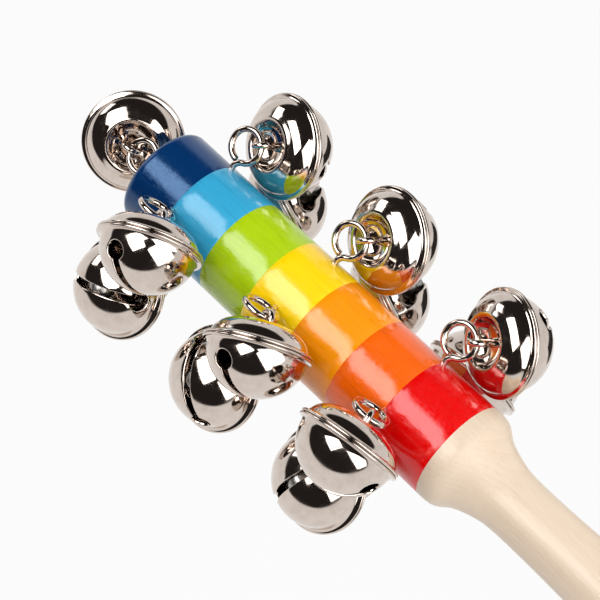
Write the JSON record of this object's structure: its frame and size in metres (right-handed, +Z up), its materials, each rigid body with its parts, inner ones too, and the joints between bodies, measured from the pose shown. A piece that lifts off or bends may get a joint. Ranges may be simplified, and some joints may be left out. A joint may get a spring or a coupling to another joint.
{
  "type": "sleigh bells",
  "caption": "Hand-held stick of sleigh bells: a turned wooden stick with rainbow painted bands and round jingle bells on screw eyes.",
  "frame": {"origin": "centre of the small flat face on the butt of the handle", "axes": "+X along the stick from the handle to the far end, +Z up"},
  "size_m": [0.1899, 0.0652, 0.0544],
  "materials": {
    "wood": "smooth turned, oiled, pale",
    "paint_dark_blue": "thin satin lacquer with the grain showing through",
    "paint_light_blue": "thin satin lacquer with the grain showing through",
    "paint_lime_green": "thin satin lacquer with the grain showing through",
    "paint_yellow": "thin satin lacquer with the grain showing through",
    "paint_light_orange": "thin satin lacquer with the grain showing through",
    "paint_dark_orange": "thin satin lacquer with the grain showing through",
    "paint_red": "thin satin lacquer with the grain showing through",
    "nickel_wire": "bright nickel plate",
    "nickel_bell": "polished nickel plate",
    "pellet_steel": "tumbled steel"
  },
  "bodies": {
    "stick": {"wooden_stick": "wood", "coat_dark_blue": "paint_dark_blue", "coat_light_blue": "paint_light_blue", "coat_lime_green": "paint_lime_green", "coat_yellow": "paint_yellow", "coat_light_orange": "paint_light_orange", "coat_dark_orange": "paint_dark_orange", "coat_red": "paint_red", "eye_end": "nickel_wire", "eye_far_1": "nickel_wire", "eye_far_2": "nickel_wire", "eye_far_3": "nickel_wire", "eye_far_4": "nickel_wire", "eye_mid_1": "nickel_wire", "eye_mid_2": "nickel_wire", "eye_mid_3": "nickel_wire", "eye_mid_4": "nickel_wire", "eye_near_1": "nickel_wire", "eye_near_2": "nickel_wire", "eye_near_3": "nickel_wire", "eye_near_4": "nickel_wire"},
    "bell_end": {"cap_end": "nickel_bell", "bowl_end": "nickel_bell"},
    "pellet_end": {"pellet_end": "pellet_steel"},
    "bell_far_1": {"cap_far_1": "nickel_bell", "bowl_far_1": "nickel_bell"},
    "pellet_far_1": {"pellet_far_1": "pellet_steel"},
    "bell_far_2": {"cap_far_2": "nickel_bell", "bowl_far_2": "nickel_bell"},
    "pellet_far_2": {"pellet_far_2": "pellet_steel"},
    "bell_far_3": {"cap_far_3": "nickel_bell", "bowl_far_3": "nickel_bell"},
    "pellet_far_3": {"pellet_far_3": "pellet_steel"},
    "bell_far_4": {"cap_far_4": "nickel_bell", "bowl_far_4": "nickel_bell"},
    "pellet_far_4": {"pellet_far_4": "pellet_steel"},
    "bell_mid_1": {"cap_mid_1": "nickel_bell", "bowl_mid_1": "nickel_bell"},
    "pellet_mid_1": {"pellet_mid_1": "pellet_steel"},
    "bell_mid_2": {"cap_mid_2": "nickel_bell", "bowl_mid_2": "nickel_bell"},
    "pellet_mid_2": {"pellet_mid_2": "pellet_steel"},
    "bell_mid_3": {"cap_mid_3": "nickel_bell", "bowl_mid_3": "nickel_bell"},
    "pellet_mid_3": {"pellet_mid_3": "pellet_steel"},
    "bell_mid_4": {"cap_mid_4": "nickel_bell", "bowl_mid_4": "nickel_bell"},
    "pellet_mid_4": {"pellet_mid_4": "pellet_steel"},
    "bell_near_1": {"cap_near_1": "nickel_bell", "bowl_near_1": "nickel_bell"},
    "pellet_near_1": {"pellet_near_1": "pellet_steel"},
    "bell_near_2": {"cap_near_2": "nickel_bell", "bowl_near_2": "nickel_bell"},
    "pellet_near_2": {"pellet_near_2": "pellet_steel"},
    "bell_near_3": {"cap_near_3": "nickel_bell", "bowl_near_3": "nickel_bell"},
    "pellet_near_3": {"pellet_near_3": "pellet_steel"},
    "bell_near_4": {"cap_near_4": "nickel_bell", "bowl_near_4": "nickel_bell"},
    "pellet_near_4": {"pellet_near_4": "pellet_steel"}
  },
  "joints": [
    {"name": "swing_end", "type": "hinge", "parent": "stick", "child": "bell_end", "pos_m": [0.17582, 0.00037, -0.00029], "axis": [0.1219, -0.7821, 0.6111], "range_deg": [0, 92]},
    {"name": "rattle_end", "type": "slide", "parent": "bell_end", "child": "pellet_end", "axis": [-0.5406, 0.464, 0.7017], "range_m": [0, 0.0048]},
    {"name": "swing_far_1", "type": "hinge", "parent": "stick", "child": "bell_far_1", "pos_m": [0.14935, 0.01273, 0.01629], "axis": [0.6428, 0.4716, 0.6037], "range_deg": [0, 87]},
    {"name": "rattle_far_1", "type": "slide", "parent": "bell_far_1", "child": "pellet_far_1", "axis": [0.4716, -0.8646, 0.1733], "range_m": [0, 0.0048]},
    {"name": "swing_far_2", "type": "hinge", "parent": "stick", "child": "bell_far_2", "pos_m": [0.14931, -0.01625, 0.0127], "axis": [-0.6293, 0.6124, -0.4785], "range_deg": [0, 105]},
    {"name": "rattle_far_2", "type": "slide", "parent": "bell_far_2", "child": "pellet_far_2", "axis": [0.2658, 0.7481, 0.608], "range_m": [0, 0.0048]},
    {"name": "swing_far_3", "type": "hinge", "parent": "stick", "child": "bell_far_3", "pos_m": [0.15038, -0.01326, -0.01697], "axis": [0.866, -0.3078, -0.394], "range_deg": [0, 92]},
    {"name": "rattle_far_3", "type": "slide", "parent": "bell_far_3", "child": "pellet_far_3", "axis": [0.2723, 0.9513, -0.1447], "range_m": [0, 0.0048]},
    {"name": "swing_far_4", "type": "hinge", "parent": "stick", "child": "bell_far_4", "pos_m": [0.15467, 0.01831, -0.0143], "axis": [-0.788, 0.4851, -0.379], "range_deg": [0, 121]},
    {"name": "rattle_far_4", "type": "slide", "parent": "bell_far_4", "child": "pellet_far_4", "axis": [-0.0429, -0.6575, -0.7522], "range_m": [0, 0.0048]},
    {"name": "swing_mid_1", "type": "hinge", "parent": "stick", "child": "bell_mid_1", "pos_m": [0.11603, 0.01246, 0.01595], "axis": [0.5299, 0.5221, 0.6683], "range_deg": [0, 90]},
    {"name": "rattle_mid_1", "type": "slide", "parent": "bell_mid_1", "child": "pellet_mid_1", "axis": [0.4864, -0.8326, 0.2648], "range_m": [0, 0.0048]},
    {"name": "swing_mid_2", "type": "hinge", "parent": "stick", "child": "bell_mid_2", "pos_m": [0.11635, -0.01629, 0.01273], "axis": [-0.6428, 0.6037, -0.4716], "range_deg": [0, 106]},
    {"name": "rattle_mid_2", "type": "slide", "parent": "bell_mid_2", "child": "pellet_mid_2", "axis": [0.2494, 0.747, 0.6162], "range_m": [0, 0.0048]},
    {"name": "swing_mid_3", "type": "hinge", "parent": "stick", "child": "bell_mid_3", "pos_m": [0.11698, -0.0131, -0.01676], "axis": [0.7986, -0.3705, -0.4742], "range_deg": [0, 91]},
    {"name": "rattle_mid_3", "type": "slide", "parent": "bell_mid_3", "child": "pellet_mid_3", "axis": [0.3365, 0.9282, -0.1585], "range_m": [0, 0.0048]},
    {"name": "swing_mid_4", "type": "hinge", "parent": "stick", "child": "bell_mid_4", "pos_m": [0.12233, 0.01779, -0.0139], "axis": [-0.6157, 0.621, -0.4851], "range_deg": [0, 116]},
    {"name": "rattle_mid_4", "type": "slide", "parent": "bell_mid_4", "child": "pellet_mid_4", "axis": [-0.1233, -0.684, -0.719], "range_m": [0, 0.0048]},
    {"name": "swing_near_1", "type": "hinge", "parent": "stick", "child": "bell_near_1", "pos_m": [0.08492, 0.01342, 0.01717], "axis": [0.9336, 0.2206, 0.2824], "range_deg": [0, 99]},
    {"name": "rattle_near_1", "type": "slide", "parent": "bell_near_1", "child": "pellet_near_1", "axis": [0.1571, -0.9602, 0.2309], "range_m": [0, 0.0048]},
    {"name": "swing_near_2", "type": "hinge", "parent": "stick", "child": "bell_near_2", "pos_m": [0.08311, -0.01604, 0.01253], "axis": [-0.5592, 0.6533, -0.5104], "range_deg": [0, 96]},
    {"name": "rattle_near_2", "type": "slide", "parent": "bell_near_2", "child": "pellet_near_2", "axis": [0.4019, 0.7521, 0.5223], "range_m": [0, 0.0048]},
    {"name": "swing_near_3", "type": "hinge", "parent": "stick", "child": "bell_near_3", "pos_m": [0.08684, -0.01355, -0.01735], "axis": [0.9903, 0.0857, 0.1097], "range_deg": [0, 99]},
    {"name": "rattle_near_3", "type": "slide", "parent": "bell_near_3", "child": "pellet_near_3", "axis": [-0.061, 0.9755, -0.2113], "range_m": [0, 0.0048]},
    {"name": "swing_near_4", "type": "hinge", "parent": "stick", "child": "bell_near_4", "pos_m": [0.08949, 0.01761, -0.01376], "axis": [-0.5592, 0.6533, -0.5104], "range_deg": [0, 115]},
    {"name": "rattle_near_4", "type": "slide", "parent": "bell_near_4", "child": "pellet_near_4", "axis": [-0.144, -0.6828, -0.7163], "range_m": [0, 0.0048]}
  ]
}
